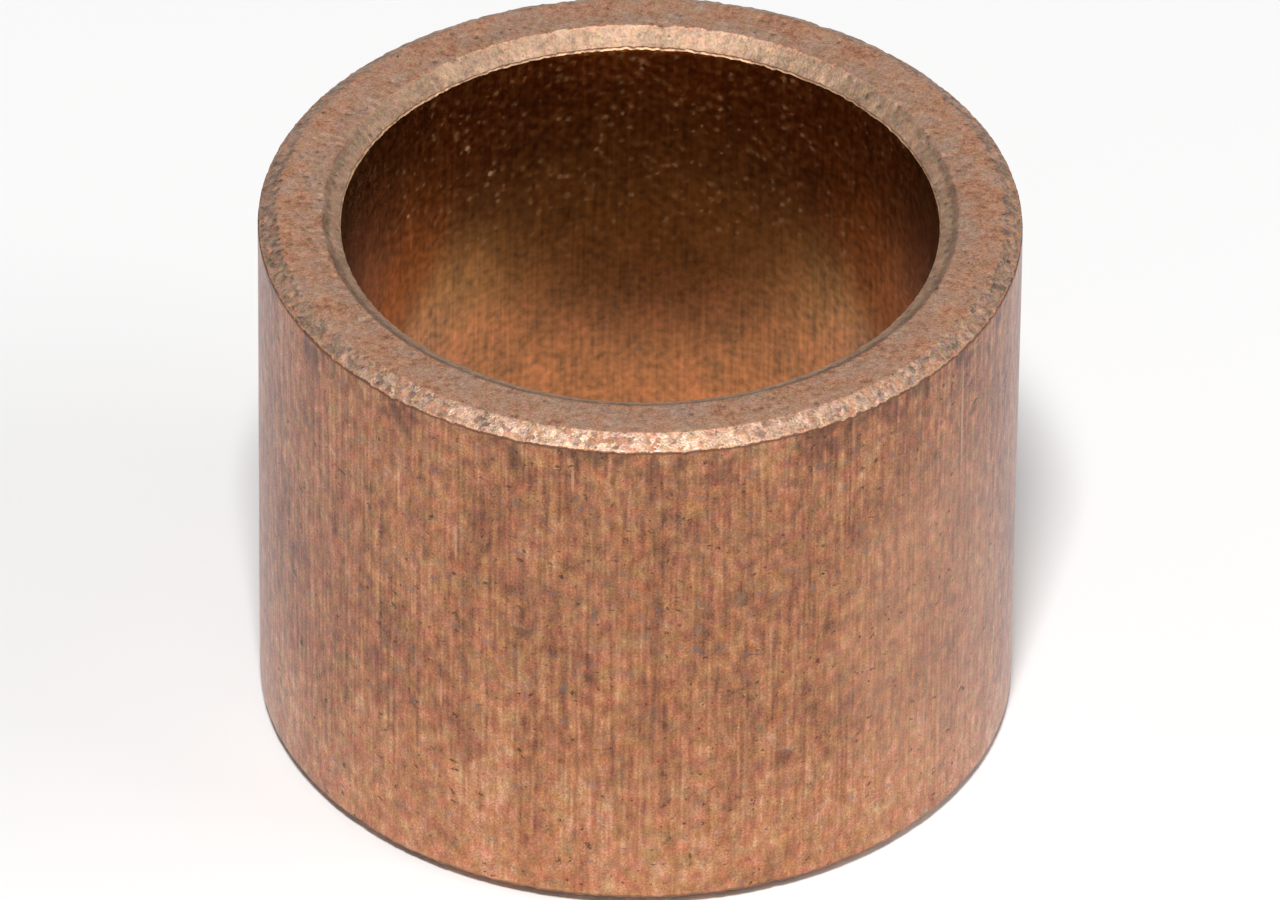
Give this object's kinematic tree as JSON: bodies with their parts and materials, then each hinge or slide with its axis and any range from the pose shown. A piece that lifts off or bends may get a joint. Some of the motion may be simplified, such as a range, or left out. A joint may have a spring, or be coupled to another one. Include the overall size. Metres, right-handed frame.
{
  "type": "starter bushing",
  "caption": "Plain bronze sleeve bearing with a smooth running bore and chamfered ends, pressed into a starter motor's end housing to carry its shaft.",
  "frame": {"origin": "centre of the lower end, on the sleeve's axis", "axes": "+Z along the axis of the bore, up from the end that the bushing stands on"},
  "size_m": [0.016, 0.016, 0.0122],
  "materials": {
    "sintered_bronze": "oil-soaked sintered bronze, sized and satin"
  },
  "bodies": {
    "root": {"bushing": "sintered_bronze"}
  },
  "joints": []
}
